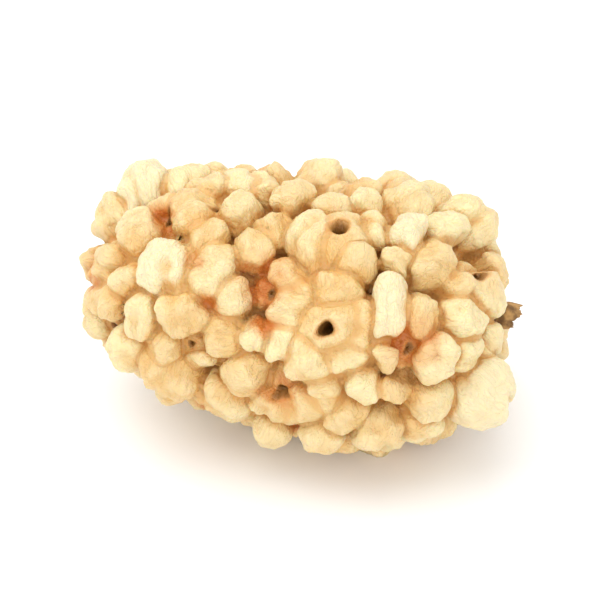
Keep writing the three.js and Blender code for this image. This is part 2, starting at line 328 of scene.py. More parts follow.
# Floor, light and camera, in metres and degrees
FLOOR_SIZE = 0.6
FLOOR_GREY = 0.95
LIGHTS = (
    {"name": "key", "place": (-0.10, 0.0, 0.30), "size": 0.36, "power": 0.61},
    {"name": "front", "place": (0.12, -0.30, 0.20), "size": 0.3, "power": 0.3},
)
LIGHT_TARGET = (0, 0, 0.005)
CAMERA_AZIMUTH = 10
CAMERA_ELEVATION = 39
CAMERA_LENS = 180
SENSOR_WIDTH = 36
FRAME_WIDTH = 0.025  # what the picture spans at the fruit

MM = 0.001


# Numbers and frames

def seeded_random(seed):
    """The part's own generator of numbers from 0 to 1, in 32 bits."""
    mask = 0xFFFFFFFF
    state = seed & mask
    while True:
        state = (state + 0x6D2B79F5) & mask
        t = ((state ^ (state >> 15)) * (state | 1)) & mask
        t = ((t + (((t ^ (t >> 7)) * (t | 61)) & mask)) & mask) ^ t
        yield (t ^ (t >> 14)) / 4294967296


numbers = seeded_random(SEED)


def spread(amount):
    return amount * (2 * next(numbers) - 1)


def draw(chance, ranges):
    return {name: chance.uniform(*ends) for name, ends in ranges.items()}


def unit(vector):
    return vector / np.linalg.norm(vector)


def turn_z(angle):
    c, s = math.cos(angle), math.sin(angle)
    return np.array([[c, -s, 0, 0], [s, c, 0, 0], [0, 0, 1, 0], [0, 0, 0, 1]])


def turn_y(angle):
    c, s = math.cos(angle), math.sin(angle)
    return np.array([[c, 0, s, 0], [0, 1, 0, 0], [-s, 0, c, 0], [0, 0, 0, 1]])


def shift(x, y, z):
    matrix = np.eye(4)
    matrix[:3, 3] = (x, y, z)
    return matrix


def stretch(x, y, z):
    return np.diag([x, y, z, 1.0])


def smooth(low, high, value):
    part = np.clip((value - low) / (high - low), 0, 1)
    return part * part * (3 - 2 * part)


# The spindle

def spindle_radius(u):
    blunt = (1 - abs(u) ** SPINDLE_SQUARENESS) ** (1 / SPINDLE_SQUARENESS)
    return SPINDLE_RADIUS * blunt * (1 - TIP_TAPER * (0.5 - 0.5 * u) ** 2)


def spindle_point(u, angle):
    r = spindle_radius(u)
    rise = TIP_RISE * (0.5 - 0.5 * u) ** 2
    height = r * FLATNESS * math.sin(angle) + rise
    return np.array([SPINDLE_HALF_LENGTH * u, r * math.cos(angle), height])


def spindle_normal(u, angle):
    middle = min(max(u, SMALL_STEP - 1), 1 - SMALL_STEP)
    along = spindle_point(middle + SMALL_STEP, angle) - spindle_point(middle - SMALL_STEP, angle)
    around = spindle_point(middle, angle + SMALL_STEP) - spindle_point(middle, angle - SMALL_STEP)
    return unit(np.cross(around, along))


def area_shares():
    area = [0.0]
    for i in range(1, AREA_STEPS + 1):
        a = spindle_point(2 * (i - 1) / AREA_STEPS - 1, 0)
        b = spindle_point(2 * i / AREA_STEPS - 1, 0)
        area.append(area[-1] + np.linalg.norm(a - b) * (a[1] + b[1]))
    return np.array(area) / area[-1]


SHARES = area_shares()


def station_of_share(share):
    i = max(1, int(np.argmax(SHARES >= share)))
    part = (share - SHARES[i - 1]) / (SHARES[i] - SHARES[i - 1])
    return 2 * (i - 1 + part) / AREA_STEPS - 1


def standing_frame(u, angle, lean):
    """A frame on the spindle: x runs round it, y along it, and z out of it, tipped by the lean."""
    normal = spindle_normal(u, angle)
    out = unit(normal + lean)
    around = unit(np.cross((1, 0, 0), normal))
    along = unit(np.cross(out, around))
    around = np.cross(along, out)
    matrix = np.eye(4)
    matrix[:3, 0] = around
    matrix[:3, 1] = along
    matrix[:3, 2] = out
    matrix[:3, 3] = spindle_point(u, angle)
    return matrix


# Pits and tepals, in the places that the part's source gives them

class Place:
    """A place on the spindle, by its share of the surface from the tip and its turn round it."""

    def __init__(self, share, turn, facts=None):
        self.u = station_of_share(share)
        self.angle = math.radians(turn)
        self.point = spindle_point(self.u, self.angle)
        self.facts = facts


def spiral_places():
    golden = 180 * (3 - math.sqrt(5))
    for i in range(SPIRAL_PLACES):
        index = i * SPIRAL_STRIDE % SPIRAL_PLACES
        yield Place((index + 0.5) / SPIRAL_PLACES, index * golden)


def clear_of(place, others, distance):
    if not others:
        return True
    points = np.array([other.point for other in others])
    return np.linalg.norm(points - place.point, axis=1).min() >= distance


def plump_room(plump):
    """The middle, the axes and the sizes of the room that a plump tepal takes up."""
    place = Place(plump["share"], plump["turn"])
    axes = standing_frame(place.u, place.angle, np.zeros(3))[:3, :3]
    return place.point, axes, np.array([plump["round"], plump["along"], plump["tall"]]) + PLUMP_ROOM


def clear_of_plump(place, rooms):
    return all(
        np.linalg.norm(((place.point - point) @ axes) / sizes) > 1 for point, axes, sizes in rooms
    )


def nearest(others, place):
    points = np.array([other.point for other in others])
    return int(np.argmin(np.linalg.norm(points - place.point, axis=1)))


def tepal_matrix(place, pit, rank):
    size = 1 + spread(SIZE_SPREAD)
    normal = spindle_normal(place.u, place.angle)
    lean = np.array([-TEPAL_LEAN * (1 - abs(normal[0])), 0, 0])
    lean += (spread(TILT_SPREAD), spread(TILT_SPREAD), spread(TILT_SPREAD))
    matrix = standing_frame(place.u, place.angle, lean)
    to_pit = (pit.point - place.point) @ matrix[:3, :3]
    matrix = matrix @ turn_z(math.atan2(-to_pit[1], -to_pit[0])) @ turn_y(-TEPAL_CUP)
    matrix = matrix @ shift(0, 0, rank["lift"])
    sizes = [rank[name] * size * (1 + spread(SIZE_SPREAD)) for name in ("thick", "wide", "tall")]
    return matrix @ stretch(SWELL * sizes[0], SWELL * sizes[1], sizes[2])


def barrel_matrix(pit):
    sizes = BARREL if pit.barrel else LOW_BARREL
    matrix = np.eye(4)
    matrix[:3, :3] = pit.axes
    matrix[:3, 3] = pit.centre
    matrix = matrix @ shift(0, 0, sizes["lift"])
    return matrix @ stretch(sizes["round"], sizes["along"], sizes["tall"])


def plump_matrix(plump, rise):
    place = Place(plump["share"], plump["turn"])
    matrix = standing_frame(place.u, place.angle, np.zeros(3)) @ shift(0, 0, plump["lift"] + rise)
    return matrix @ stretch(plump["round"], plump["along"], plump["tall"])


class Lobe:
    """One tepal, or the bud round a hole, as a bent and furrowed ellipsoid."""

    def __init__(self, matrix, pit, plump, pale_and_highlit, chance):
        self.centre = matrix[:3, 3]
        self.size = np.linalg.norm(matrix[:3, :3], axis=0)
        self.axes = matrix[:3, :3] / self.size
        self.pit = pit
        self.plump = plump
        self.pale_and_highlit = pale_and_highlit
        calm = PLUMP_CALM if plump else 1.0
        self.blunt = SQUARENESS + SQUARENESS_SPREAD * chance.uniform(-1, 1)
        if plump:
            self.blunt = PLUMP_SQUARENESS
        self.wedge = calm * WEDGE_SPREAD * chance.uniform(-1, 1)
        self.bend = calm * BEND_MOST * chance.uniform(0, 1)
        self.furrow = FURROW_MOST * max(0, chance.uniform(*FURROW_SHARES))
        self.furrow_side = FURROW_ASIDE * self.size[1] * chance.uniform(-1, 1)
        self.tone = chance.uniform(0, 1)
        self.reach = self.size.max() + LOBE_MARGIN

    def local(self, points):
        return (points - self.centre) @ self.axes

    def distance(self, points):
        """Roughly the distance from the lobe's skin in millimetres, less than 0 inside."""
        x, y, z = self.local(points).T
        height = z / self.size[2]
        x = x + self.bend * np.maximum(height, 0) ** 2
        y = y / (1 + self.wedge * np.clip(height, -1, 1))
        share = np.abs(np.stack([x, y, z], axis=1)) / self.size + 1e-6
        near = np.sum(share ** self.blunt, axis=1) ** (1 / self.blunt)
        slope = np.linalg.norm((share / near[:, None]) ** (self.blunt - 1) / self.size, axis=1)
        away = (near - 1) / slope
        groove = np.exp(-((y - self.furrow_side) / FURROW_WIDTH) ** 2)
        outer = smooth(*FURROW_FACE, x / self.size[0] + 0.5 * height)
        return away + self.furrow * groove * outer


class Pit:
    """One hole between tepals."""

    def __init__(self, place, chance):
        drawn = draw(chance, DRAWN_PITS)
        barrel = chance.uniform(0, 1) < BARREL_CHANCE
        facts = place.facts or drawn
        if place.facts:
            place = Place(facts["share"], facts["hole_turn"])
            barrel = SEEN_PITS.index(facts) in SEEN_BARRELS
        frame = standing_frame(place.u, place.angle, np.zeros(3))
        self.centre = place.point
        self.axes = (frame @ turn_z(math.radians(facts["side"])))[:3, :3]
        self.open = facts["open"]
        self.long = facts["long"]
        self.barrel = barrel
        self.waver = chance.uniform(0, 2 * math.pi, 2)
        self.reach = HOLE_REACH

    def local(self, points):
        return (points - self.centre) @ self.axes

    def distance(self, points):
        """Roughly the distance from the hole's wall, less than 0 inside the hole."""
        x, y, z = self.local(points).T
        around = np.arctan2(y, x)
        waver = sum(
            size * np.cos((order + 2) * around + self.waver[order])
            for order, size in enumerate(PIT_WAVER)
        )
        across = np.hypot(x, y / self.long) * (1 + waver)
        narrow, middle, mouth = PIT_HEIGHTS
        flare = PIT_FLARE * smooth(middle, mouth, z) - PIT_NARROWING * smooth(middle, narrow, z)
        under = np.maximum(self.open - z, 0)
        return np.hypot(across, under) - self.open * (1 + flare)


def grow():
    """The pits and the lobes, drawn in the part's own order."""
    chance = np.random.default_rng(SHAPE_SEED)
    lobes = []
    for row, plump in enumerate(PLUMP_TEPALS):
        matrix = plump_matrix(plump, PLUMP_RISES.get(row, 0))
        lobes.append(Lobe(matrix, -1, True, row in PALEST_AND_HIGHLIT_PLUMP, chance))
        lobes[-1].tone = PLUMP_TONES[row]
        if row in PLUMP_FURROWS:
            lobes[-1].furrow, lobes[-1].furrow_side = PLUMP_FURROWS[row]
    stalk = Place(0.5, 0)
    stalk.point = np.array([SPINDLE_HALF_LENGTH, 0, STALK_RISE])
    rooms = [plump_room(plump) for plump in PLUMP_TEPALS]
    places = [
        place for place in spiral_places()
        if clear_of(place, [stalk], STALK_ROOM) and clear_of_plump(place, rooms)
    ]
    holes = [Place(pit["share"], pit["turn"], pit) for pit in SEEN_PITS]
    for place in places:
        if clear_of(place, holes, PIT_SPACING):
            holes.append(place)
    taken = []
    for rank in TEPAL_RANKS:
        for place in places:
            if not clear_of(place, holes, rank["thick"] + PIT_ROOM):
                continue
            if not clear_of(place, taken, rank["spacing"]):
                continue
            taken.append(place)
            index = nearest(holes, place)
            matrix = tepal_matrix(place, holes[index], rank)
            near = np.linalg.norm(place.point - holes[index].point) < PIT_REACH
            lobes.append(Lobe(matrix, index if near else -1, False, False, chance))
    pits = [Pit(place, chance) for place in holes]
    for pit in pits:
        lobes.append(Lobe(barrel_matrix(pit), -1, False, False, chance))
        lobes[-1].tone = BARREL_TONE
    return pits, lobes


# Noise

def hashed(cells, salt):
    """A number from -1 to 1 for each lattice cell."""
    mask = np.uint64(0xFFFFFFFF)
    x, y, z = (cells.astype(np.int64) + 100000).astype(np.uint64).T
    h = (x * np.uint64(73856093)) ^ (y * np.uint64(19349663)) ^ (z * np.uint64(83492791))
    h = (h + np.uint64(salt * 2654435761 % 4294967296)) & mask
    h = ((h ^ (h >> np.uint64(15))) * np.uint64(2246822519)) & mask
    h = ((h ^ (h >> np.uint64(13))) * np.uint64(3266489917)) & mask
    return (h ^ (h >> np.uint64(16))).astype(float) / 2147483648 - 1


def noise(points, salt):
    """Smooth noise with one lattice cell to the unit, mostly from -1 to 1."""
    cell = np.floor(points)
    part = points - cell
    ease = part ** 3 * (part * (part * 6 - 15) + 10)
    total = np.zeros(len(points))
    for corner in itertools.product((0, 1), repeat=3):
        weight = np.prod(np.where(corner, ease, 1 - ease), axis=1)
        offset = part - corner
        slope = sum(hashed(cell + corner, salt + i) * offset[:, i] for i in range(3))
        total += weight * slope
    return 1.6 * total


# The flesh

def core_distance(points):
    """Roughly the distance from the solid inside, on which the tepals stand."""
    u = points[:, 0] / SPINDLE_HALF_LENGTH
    part = 0.5 - 0.5 * np.clip(u, -1, 1)
    across = np.hypot(points[:, 1], (points[:, 2] - TIP_RISE * part ** 2) / FLATNESS)
    share = across / (SPINDLE_RADIUS * (1 - TIP_TAPER * part ** 2))
    level = (np.abs(u) ** SPINDLE_SQUARENESS + share ** SPINDLE_SQUARENESS)
    return (level ** (1 / SPINDLE_SQUARENESS) - 1) * SPINDLE_RADIUS + CORE_DEPTH


def stalk_hole_distance(points):
    """Roughly the distance from the wall of the stalk's hole, less than 0 inside the hole."""
    across = np.hypot(points[:, 1], points[:, 2] - STALK_RISE)
    start = np.maximum(STALK_SEAT_X + STALK_HOLE_START - points[:, 0], 0)
    out = points[:, 0] - SPINDLE_HALF_LENGTH
    radius = STALK_RADIUS * (1 + STALK_RIDGE_HEIGHT) + STALK_GAP
    flare = STALK_HOLE_FLARE * smooth(*STALK_FLARE_REACH, out)
    return np.hypot(across, start) - radius - flare


def soft_max(a, b, width):
    part = np.maximum(width - np.abs(a - b), 0) / width
    return np.maximum(a, b) + part * part * width / 4


class Flesh:
    """The lobes and the core, run together into one skin with the pits sunk into it."""

    def __init__(self, pits, lobes, points):
        self.pits = pits
        self.lobes = lobes
        self.near_pits = [self.close(pit, points) for pit in pits]
        self.near_lobes = [self.close(lobe, points) for lobe in lobes]
        self.groups = {}
        for index, lobe in enumerate(lobes):
            key = lobe.pit if lobe.pit >= 0 else -1 - index
            self.groups.setdefault(key, []).append(index)
        self.near_groups = {
            key: np.unique(np.concatenate([self.near_lobes[i] for i in members]))
            for key, members in self.groups.items()
        }

    @staticmethod
    def close(thing, points):
        box = np.all(np.abs(points - thing.centre) < thing.reach, axis=1)
        near = np.nonzero(box)[0]
        away = np.linalg.norm(points[near] - thing.centre, axis=1)
        return near[away < thing.reach]

    def distance(self, points):
        total = np.exp(-np.maximum(core_distance(points), DEEPEST) / BLEND)
        for key, near in self.near_groups.items():
            held = np.zeros(len(near))
            for index in self.groups[key]:
                away = np.maximum(self.lobes[index].distance(points[near]), DEEPEST)
                held += np.exp(-away / PIT_BLEND)
            total[near] += np.maximum(held, 1e-30) ** (PIT_BLEND / BLEND)
        skin = -BLEND * np.log(np.maximum(total, 1e-30))
        for pit, near in zip(self.pits, self.near_pits):
            skin[near] = soft_max(skin[near], -pit.distance(points[near]), PIT_EDGE)
        return soft_max(skin, -stalk_hole_distance(points), PIT_EDGE)

    def settle(self, points, rounds=2, step=0.01, furthest=0.06, flattest=0.25):
        """Move the points onto the skin along its slope."""
        for _ in range(rounds):
            here = self.distance(points)
            slope = np.empty_like(points)
            for axis in range(3):
                moved = points.copy()
                moved[:, axis] += step
                slope[:, axis] = (self.distance(moved) - here) / step
            size = np.maximum(np.sum(slope ** 2, axis=1), flattest)
            points = points - slope * np.clip(here / size, -furthest, furthest)[:, None]
        return points

    def skin_facts(self, points):
        """What each point has of the lobes round it.

        The creases are how much nearer the nearest lobe, or bud, is than the second nearest.
        The place is in the nearest lobe's own frame. The tone, the paleness with its painted
        highlight and the height of wrinkles are the lobes' own, run together.
        """
        count = len(points)
        near_lobe = Nearest(count)
        near_bud = Nearest(count)
        place = np.zeros((count, 3))
        total = np.full(count, 1e-12)
        facts = np.zeros((count, 3))
        for members in self.groups.values():
            held = np.full(count, FAR)
            for index in members:
                lobe, near = self.lobes[index], self.near_lobes[index]
                away = lobe.distance(points[near])
                held[near] = np.minimum(held[near], away)
                own_place = lobe.local(points[near]) / WRINKLE_LENGTHS + LOBE_SHIFT * index
                nearest = near_lobe.add(near, away)
                place[near[nearest]] = own_place[nearest]
                shown = away < MARK_REACH
                near, own_place = near[shown], own_place[shown]
                weight = np.exp(-np.maximum(away[shown], -MARK_DEPTH) / MARK_BLEND)
                fold = np.abs(noise(own_place, SALTS["wrinkles"]))
                finer = noise(FINE_WRINKLES["fineness"] * own_place, SALTS["fine wrinkles"])
                fold += FINE_WRINKLES["size"] * np.abs(finer)
                size = PLUMP_WRINKLES if lobe.plump else 1.0
                total[near] += weight
                facts[near, :2] += weight[:, None] * np.array([[lobe.tone, float(lobe.pale_and_highlit)]])
                facts[near, 2] += weight * (fold - WRINKLE_MEAN) * size
            near = np.nonzero(held < FAR)[0]
            near_bud.add(near, held[near])
        tone, pale_and_highlit, fold = (facts / total[:, None]).T
        return near_lobe.crease(), near_bud.crease(), place, tone, pale_and_highlit, fold


class Nearest:
    """How near each point is to the nearest and the second nearest of some things."""

    def __init__(self, count):
        self.first = np.full(count, FAR)
        self.second = np.full(count, FAR)

    def add(self, near, away):
        """Take in one more thing, and say for which points it is the nearest yet."""
        nearest = away < self.first[near]
        self.second[near] = np.minimum(self.second[near], np.maximum(self.first[near], away))
        self.first[near] = np.minimum(self.first[near], away)
        return nearest

    def crease(self):
        return self.second - self.first


def grid_points(low, counts, step):
    axes = [low[i] + step * np.arange(counts[i]) for i in range(3)]
    return np.stack(np.meshgrid(*axes, indexing="ij"), axis=-1).reshape(-1, 3)


def without_touching_edges(values, filled, rounds=8):
    """The values with gaps filled in where two parts of the skin would share one edge only."""
    values = values.copy()
    for _ in range(rounds):
        for axis in range(3):
            layers = np.moveaxis(values, axis, 0)
            a, b = layers[:, :-1, :-1], layers[:, 1:, 1:]
            c, d = layers[:, :-1, 1:], layers[:, 1:, :-1]
            c[(a < 0) & (b < 0) & (c >= 0) & (d >= 0)] = filled
            a[(c < 0) & (d < 0) & (a >= 0) & (b >= 0)] = filled
    return values


def largest_part(points, faces):
    """The net's largest joined part, without specks and bubbles."""
    edges = face_edges(faces)
    part = np.arange(len(points))
    while True:
        lower = part.copy()
        np.minimum.at(lower, edges[:, 0], part[edges[:, 1]])
        np.minimum.at(lower, edges[:, 1], part[edges[:, 0]])
        lower = lower[lower]
        if np.array_equal(lower, part):
            break
        part = lower
    kept = part == np.bincount(part).argmax()
    number = np.cumsum(kept) - 1
    return points[kept], number[faces[kept[faces[:, 0]]]]


def skin_net(values, low, step):
    """Points and squares of the skin on which a grid's values change their sign."""
    inside = values < 0
    corners = list(itertools.product((0, 1), repeat=3))
    size = np.array(values.shape) - 1

    def block(array, corner):
        return array[tuple(slice(c, c + n) for c, n in zip(corner, size))]

    count = sum(block(inside, corner).astype(np.int8) for corner in corners)
    crossed = (count > 0) & (count < 8)
    cells = np.argwhere(crossed)
    number = np.full(crossed.shape, -1)
    number[crossed] = np.arange(len(cells))
    total = np.zeros((len(cells), 3))
    hits = np.zeros(len(cells))
    for axis in range(3):
        step_along = np.eye(3, dtype=int)[axis]
        for corner in corners:
            if corner[axis]:
                continue
            a = values[tuple((cells + corner).T)]
            b = values[tuple((cells + corner + step_along).T)]
            cut = (a < 0) != (b < 0)
            part = a[cut] / (a[cut] - b[cut])
            total[cut] += np.array(corner) + part[:, None] * step_along
            hits[cut] += 1
    points = low + (cells + total / hits[:, None]) * step
    faces = []
    for axis in range(3):
        sides = [np.eye(3, dtype=int)[(axis + i) % 3] for i in range(3)]
        start = inside[tuple(slice(0, -1) if i == axis else slice(1, -1) for i in range(3))]
        end = inside[tuple(slice(1, None) if i == axis else slice(1, -1) for i in range(3))]
        edges = np.argwhere(start != end)
        outward = start[start != end]
        edges = edges + sides[1] + sides[2]
        ring = [edges, edges - sides[1], edges - sides[1] - sides[2], edges - sides[2]]
        squares = np.stack([number[tuple(corner.T)] for corner in ring], axis=1)
        squares[~outward] = squares[~outward, ::-1]
        faces.append(squares)
    return points, np.concatenate(faces)


def flesh_skin(pits, lobes):
    """The skin as an even net of small squares."""
    step = VOXEL
    tops = np.array([lobe.centre for lobe in lobes])
    low = tops.min(axis=0) - GRID_MARGIN
    counts = np.ceil((tops.max(axis=0) + GRID_MARGIN - low) / step).astype(int)
    grid = grid_points(low, counts, step)
    depth = core_distance(grid)
    in_hole = stalk_hole_distance(grid) < 3 * step
    shell = np.nonzero(((depth > SHELL[0]) | in_hole) & (depth < SHELL[1]))[0]
    values = np.where(depth > 0, 1.0, -1.0)
    values[shell] = Flesh(pits, lobes, grid[shell]).distance(grid[shell])
    just_inside = -0.05 * step
    values = without_touching_edges(values.reshape(counts), just_inside)
    return largest_part(*skin_net(values, low, step))


def face_edges(faces):
    sides = faces.shape[1]
    pairs = np.concatenate([faces[:, [i, (i + 1) % sides]] for i in range(sides)])
    return np.unique(np.sort(pairs, axis=1), axis=0)


def evened(values, edges, rounds):
    """Each point's value run together with its neighbours' this many times."""
    count = np.bincount(edges.ravel(), minlength=len(values)).astype(float)
    for _ in range(rounds):
        total = np.stack([
            np.bincount(edges[:, 0], column[edges[:, 1]], len(values))
            + np.bincount(edges[:, 1], column[edges[:, 0]], len(values))
            for column in values.T
        ], axis=1)
        values = 0.5 * values + 0.5 * total / count[:, None]
    return values


def point_normals(points, faces):
    a, b, c, d = (points[faces[:, i]] for i in range(4))
    crossed = np.cross(c - a, d - b)
    normals = np.zeros_like(points)
    for i in range(4):
        np.add.at(normals, faces[:, i], crossed)
    return normals / np.maximum(np.linalg.norm(normals, axis=1), 1e-12)[:, None]


def warp(points):
    """A smooth bending of the whole and of each lobe, which makes every lobe its own."""
    chance = np.random.default_rng(SHAPE_SEED + 1)
    moved = points.copy()
    for bends in WARPS:
        for _ in range(bends["waves"]):
            wave = unit(chance.normal(size=3)) * 2 * math.pi / chance.uniform(*bends["lengths"])
            push = unit(chance.normal(size=3)) * bends["size"] / math.sqrt(bends["waves"])
            moved += np.sin(points @ wave + chance.uniform(0, 2 * math.pi))[:, None] * push
    return moved


def to_frame():
    """How far the spindle's frame is moved in the model, read off the stalk's node."""
    low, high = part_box("stalk_stub")
    widest = STALK_RADIUS * STALK_WIDEST * (1 + STALK_RIDGE_HEIGHT)
    return np.array([low.x / MM - STALK_SEAT_X, high.y / MM - widest, AXIS_HEIGHT])


TO_FRAME = to_frame()


def add_object(name, data):
    thing = bpy.data.objects.new(name, data)
    bpy.context.scene.collection.objects.link(thing)
    return thing


def add_mark(mesh, name, values):
    """Give each point of the mesh a number, or a vector, that the materials read."""
    vector = values.ndim == 2
    attribute = mesh.attributes.new(name, "FLOAT_VECTOR" if vector else "FLOAT", "POINT")
    attribute.data.foreach_set("vector" if vector else "value", values.astype(np.float32).ravel())


def finished_piece(name, points, faces):
    """An object of the points, moved into the model's frame."""
    mesh = bpy.data.meshes.new(name)
    mesh.from_pydata(((points + TO_FRAME) * MM).tolist(), [], faces)
    mesh.shade_smooth()
    mesh.update()
    piece = add_object(name, mesh)
    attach(piece, "root")
    return piece


def stains(points):
    """How deep each point is in a stain, from 0 to 1."""
    chance = np.random.default_rng(SHAPE_SEED + 3)
    rows = list(SEEN_STAINS)
    rows += [draw(chance, DRAWN_STAINS) for _ in range(MORE_STAINS)]
    ragged = STAIN_RAGGED * noise(points / STAIN_LENGTH, SALTS["stains"])
    depth = np.zeros(len(points))
    for row in rows:
        place = Place(row["share"], row["turn"])
        middle = place.point + STAIN_HEIGHT * spindle_normal(place.u, place.angle)
        away = np.linalg.norm(points - middle, axis=1) / row["size"] + ragged
        depth = np.maximum(depth, smooth(*STAIN_EDGE, away))
    return depth


def relief(points, crease, between, pit, fold):
    """How far each point of the skin is pushed out, by dimples, wrinkles and creases."""
    calm = smooth(*WRINKLE_START, crease) * (1 - pit)
    lobe_share, bud_share = CREASE_SHARES
    groove = lobe_share * np.exp(-(crease / CREASE_WIDTH) ** 2)
    groove += bud_share * np.exp(-(between / CREASE_WIDTH) ** 2)
    groove *= (1 - pit) * smooth(*CREASE_FADE, noise(points / CREASE_PATCH, SALTS["creases"]))
    dimple = noise(points / DIMPLE_LENGTH, SALTS["dimples"])
    return DIMPLE_SIZE * dimple + WRINKLE_SIZE * fold * calm - CREASE_DEPTH * groove


def hollows(points, faces):
    """How deep each point lies between those round it, near by and further off."""
    edges = face_edges(faces)
    normals = point_normals(points, faces)
    coarse = 1
    return {
        name: np.sum((evened(points, edges, rounds // coarse) - points) * normals, axis=1)
        for name, rounds in HOLLOW_ROUNDS.items()
    }


def make_flesh(pits, lobes):
    points, faces = flesh_skin(pits, lobes)
    flesh = Flesh(pits, lobes, points)
    points = flesh.settle(points)
    crease, between, place, tone, pale_and_highlit, fold = flesh.skin_facts(points)
    pit = np.zeros(len(points))
    for hole, near in zip(pits, flesh.near_pits):
        pit[near] = np.maximum(pit[near], smooth(PIT_MARK, 0.0, hole.distance(points[near])))
    # The crease, height, pit and hollow marks also set where the materials paint shade, and the
    # marks of the palest lobes where they paint a highlight
    marks = {
        "crease": 1 - smooth(0.0, CREASE_MARK, crease),
        "height": core_distance(points) - CORE_DEPTH,
        "pit": pit,
        "tone": tone,
        "pale_and_highlit": pale_and_highlit,
        "stain": stains(points),
        "lobe_place": place,
    }
    push = relief(points, crease, between, pit, fold)
    points = warp(points + point_normals(points, faces) * push[:, None])
    marks.update(hollows(points, faces))
    points[:, 2] = np.maximum(points[:, 2], -AXIS_HEIGHT)
    piece = finished_piece("flesh", points, faces.tolist())
    for name, values in marks.items():
        add_mark(piece.data, name, values)
    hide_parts("fruit")
    return piece


# The stalk

def stalk_rod(chance, angle):
    """Rings of points from the stalk's foot to its ragged end."""
    fibre = sum(
        chance.uniform(*FIBRE_SIZES) * np.cos(order * angle + chance.uniform(*FIBRE_TURNS))
        for order in STALK_FIBRES
    ) / FIBRE_SUM
    ragged = STALK_TEETH["spread"] * chance.normal(size=STALK_SIDES)
    teeth = np.cos(STALK_TEETH["number"] * angle + STALK_TEETH["turn"])
    ragged += STALK_TEETH["length"] * teeth
    ridge = 1 + STALK_RIDGE_HEIGHT * np.cos(STALK_RIDGES * angle)
    rings = []
    for part in np.linspace(0, 1, STALK_RINGS):
        radius = STALK_RADIUS * np.interp(part, *zip(*STALK_PROFILE)) * ridge
        swell = 1 + FIBRE_SWELL["size"] * math.sin(FIBRE_SWELL["turn"] * part)
        radius = radius * (1 + FIBRE_HEIGHT * fibre * swell)
        x = STALK_LENGTH * part + ragged * smooth(STALK_TEETH["start"], 1, part)
        rings.append(np.stack([x, radius * np.cos(angle), radius * np.sin(angle)], axis=1))
    return rings


def stalk_end(chance, edge, middle):
    """Rings of points from the rod's edge into the hollow of its torn end."""
    rings = []
    for step in range(1, STALK_END_RINGS):
        part = step / STALK_END_RINGS
        ring = edge * (1 - part) + middle * part
        torn = STALK_END_SPREAD * chance.normal(size=STALK_SIDES) * (1 - part)
        ring[:, 0] += torn - STALK_END_HOLLOW * math.sin(math.pi * part)
        rings.append(ring)
    return rings


def rod_faces(rings, sides):
    """Squares between rings, and triangles that close the last ring and then the first."""
    faces = []
    last = (rings - 1) * sides
    tip = rings * sides
    for i in range(sides):
        j = (i + 1) % sides
        for low in range(0, last, sides):
            faces.append((low + i, low + j, low + sides + j, low + sides + i))
        faces.append((last + i, last + j, tip))
        faces.append((j, i, tip + 1))
    return faces


def make_stalk():
    """The broken stalk as a fibrous rod, ragged at its free end."""
    chance = np.random.default_rng(SHAPE_SEED + 2)
    angle = np.linspace(0, 2 * math.pi, STALK_SIDES, endpoint=False)
    rings = stalk_rod(chance, angle)
    middle = rings[-1].mean(axis=0) - (STALK_END_DIP, 0, 0)
    rings += stalk_end(chance, rings[-1], middle)
    points = np.concatenate(rings + [middle[None], np.zeros((1, 3))])
    points[:, 0] += STALK_BREAK_SLOPE * (points[:, 0] / STALK_LENGTH) ** 3 * points[:, 2]
    points += (STALK_SEAT_X, 0, STALK_RISE)
    piece = finished_piece("stalk", points, rod_faces(len(rings), STALK_SIDES))
    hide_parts("stalk_stub")
    return piece


# Materials

def linear(colour):
    """A screen colour, given as 0 to 255, in linear light."""
    parts = [part / 255 for part in colour]
    return tuple(p / 12.92 if p <= 0.04045 else ((p + 0.055) / 1.055) ** 2.4 for p in parts) + (1,)


class Nodes:
    """A material, with a method that adds and links each kind of node."""

    def __init__(self, name):
        self.material = bpy.data.materials.new(name)
        self.material.use_nodes = True
        self.nodes = self.material.node_tree.nodes
        self.links = self.material.node_tree.links
        self.shader = self.nodes["Principled BSDF"]

    def feed(self, socket, value):
        """Set a number or a colour on the socket itself, and link anything else to it."""
        if isinstance(value, (int, float, tuple)):
            socket.default_value = value
        else:
            self.links.new(value, socket)

    def feed_all(self, node, inputs):
        for name, value in inputs.items():
            self.feed(node.inputs[name], value)
        return node

    def mark(self, name, output="Fac"):
        node = self.nodes.new("ShaderNodeAttribute")
        node.attribute_name = name
        return node.outputs[output]

    def noise(self, scale, detail, roughness=0.55, place=None):
        inputs = {"Scale": scale, "Detail": detail, "Roughness": roughness}
        inputs["Vector"] = place or self.nodes.new("ShaderNodeTexCoord").outputs["Object"]
        return self.feed_all(self.nodes.new("ShaderNodeTexNoise"), inputs).outputs["Fac"]

    def remap(self, value, low, high, to_low=0.0, to_high=1.0):
        node = self.nodes.new("ShaderNodeMapRange")
        node.interpolation_type = "SMOOTHSTEP"
        inputs = {"Value": value, "From Min": low, "From Max": high}
        inputs.update({"To Min": to_low, "To Max": to_high})
        return self.feed_all(node, inputs).outputs["Result"]

    def maths(self, operation, a, b=0.0):
        node = self.nodes.new("ShaderNodeMath")
        node.operation = operation
        return self.feed_all(node, {0: a, 1: b}).outputs["Value"]

    def times(self, a, b):
        return self.maths("MULTIPLY", a, b)

    def off_middle(self, noise):
        """How far a noise is from its middle, which is least along winding lines."""
        return self.maths("ABSOLUTE", self.maths("SUBTRACT", noise, 0.5))

    def mixed(self, share, a, b):
        node = self.nodes.new("ShaderNodeMix")
        node.data_type = "RGBA"
        self.links.new(share, node.inputs["Factor"])
        for name, value in (("A", a), ("B", b)):
            self.feed(next(s for s in node.inputs if s.name == name and s.type == "RGBA"), value)
        return next(s for s in node.outputs if s.type == "RGBA")


